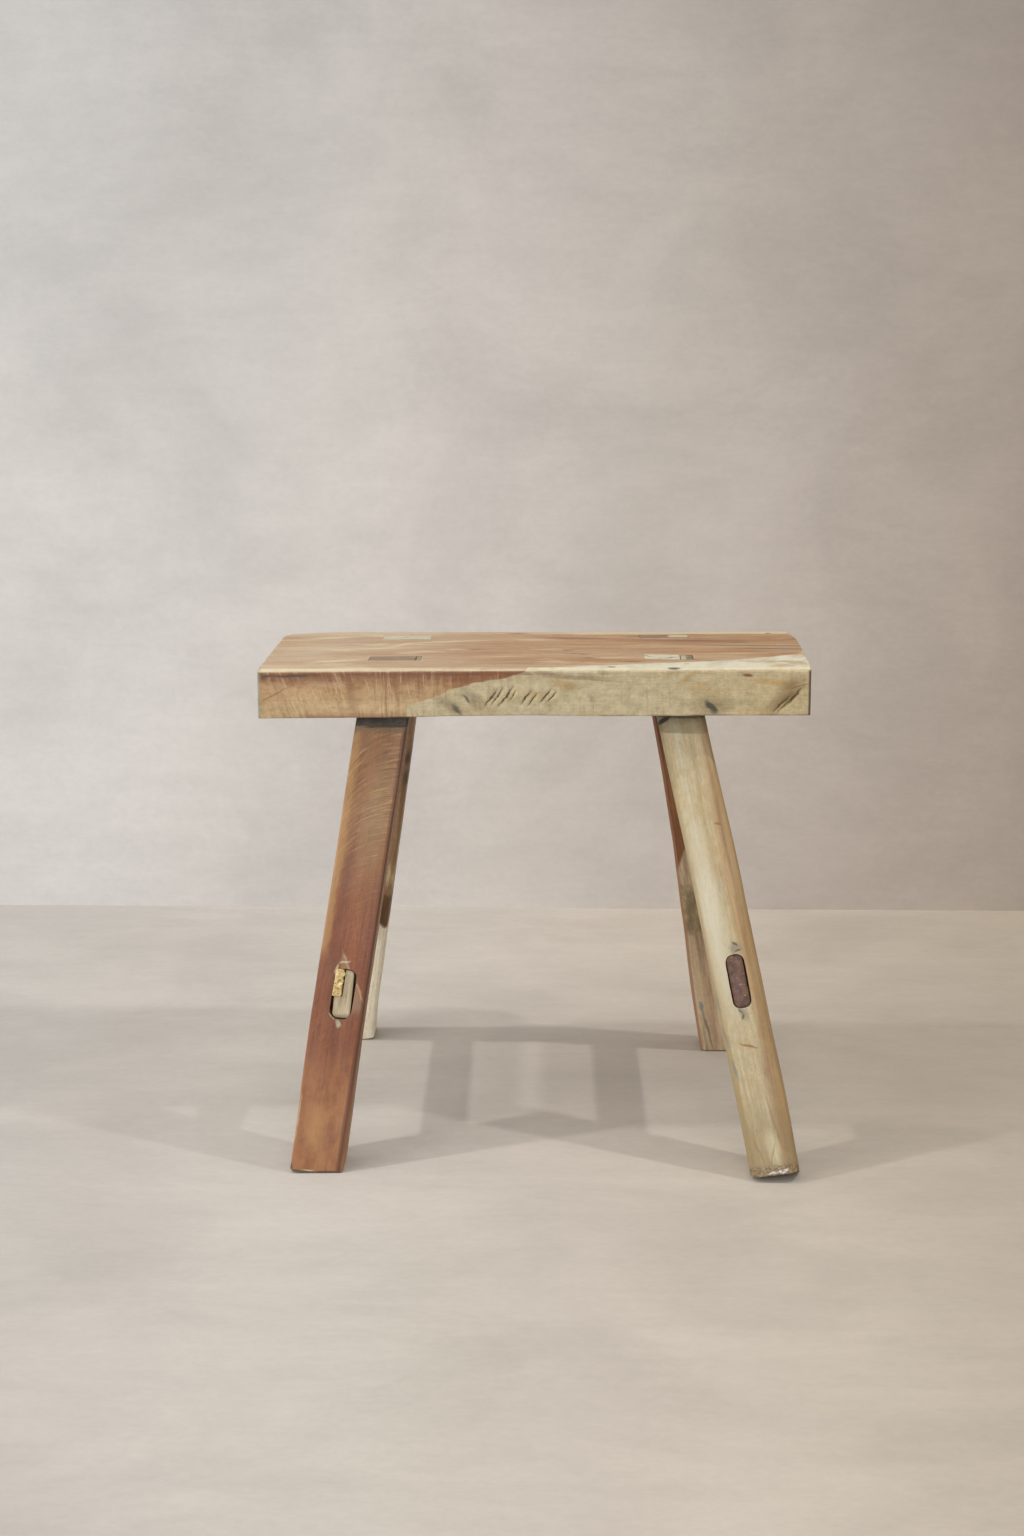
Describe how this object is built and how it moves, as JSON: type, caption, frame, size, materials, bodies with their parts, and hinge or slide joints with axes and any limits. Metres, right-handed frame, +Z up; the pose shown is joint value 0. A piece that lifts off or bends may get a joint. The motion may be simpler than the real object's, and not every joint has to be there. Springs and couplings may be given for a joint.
{
  "type": "wooden milking stool",
  "caption": "Rectangular plank-seat stool on splayed legs through-tenoned into the seat, with a flat stretcher joining front and rear leg at each side.",
  "frame": {"origin": "on the floor, at the middle of the whole stool's box", "axes": "+X along the seat towards its right end, +Y from the front to the rear, +Z up"},
  "size_m": [0.5, 0.3932, 0.45],
  "materials": {
    "seat_wood": "waxed plank, tan and red-brown heartwood with pale sapwood along one edge",
    "red_brown_wood": "waxed red-brown heartwood with fine saw marks",
    "pale_wood": "waxed cream and olive-tan sapwood",
    "mixed_wood": "waxed light brown wood with dark patina near the joints",
    "dark_wood": "old dark patina, smooth",
    "packing_wood": "raw torn yellow wood"
  },
  "bodies": {
    "root": {"seat": "seat_wood", "leg_front_left": "red_brown_wood", "leg_front_right": "pale_wood", "leg_rear_left": "mixed_wood", "leg_rear_right": "mixed_wood", "stretcher_left": "pale_wood", "stretcher_right": "dark_wood", "tenon_wedge_left": "packing_wood", "tenon_wedge_right": "dark_wood", "stretcher_packing": "packing_wood"}
  },
  "joints": []
}
